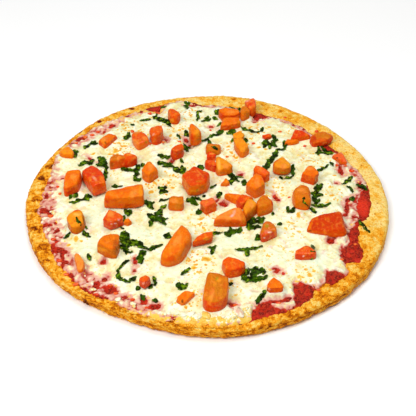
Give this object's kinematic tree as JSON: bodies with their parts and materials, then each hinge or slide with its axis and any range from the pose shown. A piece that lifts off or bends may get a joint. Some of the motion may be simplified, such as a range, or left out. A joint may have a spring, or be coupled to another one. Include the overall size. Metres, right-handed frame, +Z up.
{
  "type": "thin crust pizza",
  "caption": "Round thin crust pizza with a low bare rim, tomato sauce, melted cheese, chopped tomato chunks and basil shreds, lying flat.",
  "frame": {"origin": "middle of the crust's flat base", "axes": "+Z up out of the toppings, +X to the right and +Y away from the eater, as the pizza lies in the picture"},
  "size_m": [0.2543, 0.2554, 0.0225],
  "materials": {
    "crust": "baked crust, golden, dry and grainy",
    "sauce": "cooked tomato sauce, dark red, moist and grainy",
    "cheese": "melted cheese, creamy white with small golden spots, soft sheen",
    "tomato": "cut tomato, orange to red, moist"
  },
  "bodies": {
    "root": {"cheese": "cheese", "crust": "crust", "tomato_back_left": "tomato", "tomato_back_low": "tomato", "tomato_back_tall": "tomato", "tomato_big_block": "tomato", "tomato_boat": "tomato", "tomato_boat_fin": "tomato", "tomato_brown_cube": "tomato", "tomato_button_left": "tomato", "tomato_cluster_a": "tomato", "tomato_cluster_b": "tomato", "tomato_cluster_c": "tomato", "tomato_cluster_d": "tomato", "tomato_crumb_mid": "tomato", "tomato_cube_mid": "tomato", "tomato_diamond": "tomato", "tomato_dull_bead": "tomato", "tomato_edge_left": "tomato", "tomato_fan": "tomato", "tomato_far_left": "tomato", "tomato_front_bead": "tomato", "tomato_front_flake": "tomato", "tomato_front_tip": "tomato", "tomato_golden_low": "tomato", "tomato_golden_top": "tomato", "tomato_heart": "tomato", "tomato_leaf_lean": "tomato", "tomato_left_sliver": "tomato", "tomato_loaf": "tomato", "tomato_low_right": "tomato", "tomato_pair_back": "tomato", "tomato_pair_front": "tomato", "tomato_pentagon": "tomato", "tomato_pink_cube": "tomato", "tomato_red_tail": "tomato", "tomato_red_tile": "tomato", "tomato_red_wedge": "tomato", "tomato_ridge": "tomato", "tomato_right_gem": "tomato", "tomato_rim_right": "tomato", "tomato_ringed": "tomato", "tomato_sauce": "sauce", "tomato_seeded": "tomato", "tomato_shell": "tomato", "tomato_slab_back": "tomato", "tomato_slab_front": "tomato", "tomato_slant_left": "tomato", "tomato_small_left": "tomato", "tomato_stack_low": "tomato", "tomato_stack_mid": "tomato", "tomato_stack_top": "tomato", "tomato_strapped": "tomato", "tomato_twin_left": "tomato", "tomato_twin_right": "tomato", "tomato_upright_left": "tomato", "tomato_wedge_back": "tomato", "tomato_wet_left": "tomato", "tomato_wet_mid": "tomato", "tomato_wet_side": "tomato"}
  },
  "joints": []
}
